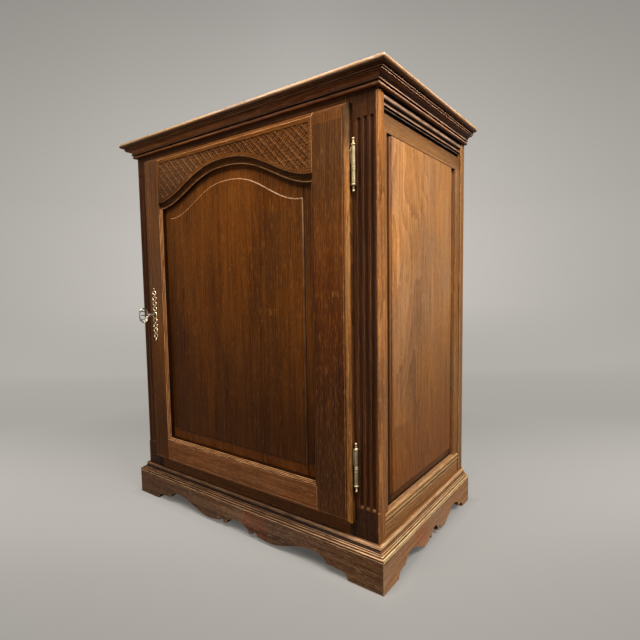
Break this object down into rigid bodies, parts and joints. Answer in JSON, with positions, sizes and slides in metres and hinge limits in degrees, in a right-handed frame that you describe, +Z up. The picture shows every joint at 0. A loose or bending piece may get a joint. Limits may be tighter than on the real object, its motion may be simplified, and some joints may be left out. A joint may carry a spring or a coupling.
{
  "type": "side cabinet",
  "caption": "Oak side cabinet with a moulded cornice, fluted posts, scalloped plinth and one hinged door with an arched raised panel, barrel hinges, lock and key.",
  "frame": {"origin": "on the floor, under the middle of the cabinet's overall width and of its depth from the key's bow to the back", "axes": "+X to the right seen from the front, +Y from the door to the back, +Z up"},
  "size_m": [0.837, 0.5368, 1],
  "materials": {
    "dark_oak": "dark stained oak, waxed satin",
    "golden_oak": "golden brown stained oak, waxed satin",
    "worn_oak": "stained oak worn light on its edges",
    "inner_oak": "plain unstained oak",
    "aged_brass": "aged, rubbed bright",
    "lock_steel": "dull"
  },
  "bodies": {
    "carcass": {"plinth_front": "dark_oak", "plinth_moulding_front": "dark_oak", "front_post_left": "dark_oak", "front_post_right": "dark_oak", "front_bottom_rail": "dark_oak", "front_top_rail": "dark_oak", "cornice_front": "dark_oak", "cornice_left": "dark_oak", "cornice_right": "dark_oak", "plinth_left": "golden_oak", "plinth_right": "golden_oak", "rear_post_left": "golden_oak", "rear_post_right": "golden_oak", "side_top_rail_left": "golden_oak", "side_top_rail_right": "golden_oak", "side_bottom_rail_left": "golden_oak", "side_bottom_rail_right": "golden_oak", "side_front_stile_left": "golden_oak", "side_front_stile_right": "golden_oak", "side_rear_stile_left": "golden_oak", "side_rear_stile_right": "golden_oak", "side_panel_left": "golden_oak", "side_panel_right": "golden_oak", "plinth_moulding_left": "worn_oak", "plinth_moulding_right": "worn_oak", "top_board": "worn_oak", "back_bottom_rail": "inner_oak", "back_top_rail": "inner_oak", "back_panel": "inner_oak", "bottom_board": "inner_oak", "shelf_lower": "inner_oak", "shelf_upper": "inner_oak", "shelf_cleat_upper_left": "inner_oak", "shelf_cleat_upper_right": "inner_oak", "shelf_cleat_lower_left": "inner_oak", "shelf_cleat_lower_right": "inner_oak", "strike_plate": "aged_brass", "hinge_frame_knuckle_upper": "aged_brass", "hinge_frame_knuckle_lower": "aged_brass", "hinge_sleeve_upper": "aged_brass", "hinge_sleeve_lower": "aged_brass", "hinge_pin_upper": "lock_steel", "hinge_pin_lower": "lock_steel"},
    "door": {"door_stile_hinge": "dark_oak", "door_stile_lock": "dark_oak", "door_bottom_rail": "dark_oak", "door_top_rail": "dark_oak", "door_moulding_top": "dark_oak", "door_moulding_bottom": "dark_oak", "door_moulding_left": "dark_oak", "door_moulding_right": "dark_oak", "door_panel": "dark_oak", "hinge_door_knuckle_upper": "aged_brass", "hinge_door_knuckle_lower": "aged_brass", "escutcheon": "aged_brass", "lock_case": "lock_steel"},
    "key": {"key": "aged_brass"},
    "lock_bolt": {"lock_bolt": "lock_steel"}
  },
  "joints": [
    {"name": "door_hinge", "type": "hinge", "parent": "carcass", "child": "door", "pos_m": [0.336, -0.2034, 0.5], "axis": [0, 0, 1], "range_deg": [0, 130]},
    {"name": "key_turn", "type": "hinge", "parent": "door", "child": "key", "pos_m": [-0.29725, -0.1976, 0.526], "axis": [0, -1, 0], "range_deg": [0, 180]},
    {"name": "bolt_slide", "type": "slide", "parent": "door", "child": "lock_bolt", "axis": [-1, 0, 0], "range_m": [0, 0.01]}
  ],
  "couplings": [
    {"joint": "bolt_slide", "follows": "key_turn", "m_per_rad": 0.00318}
  ]
}
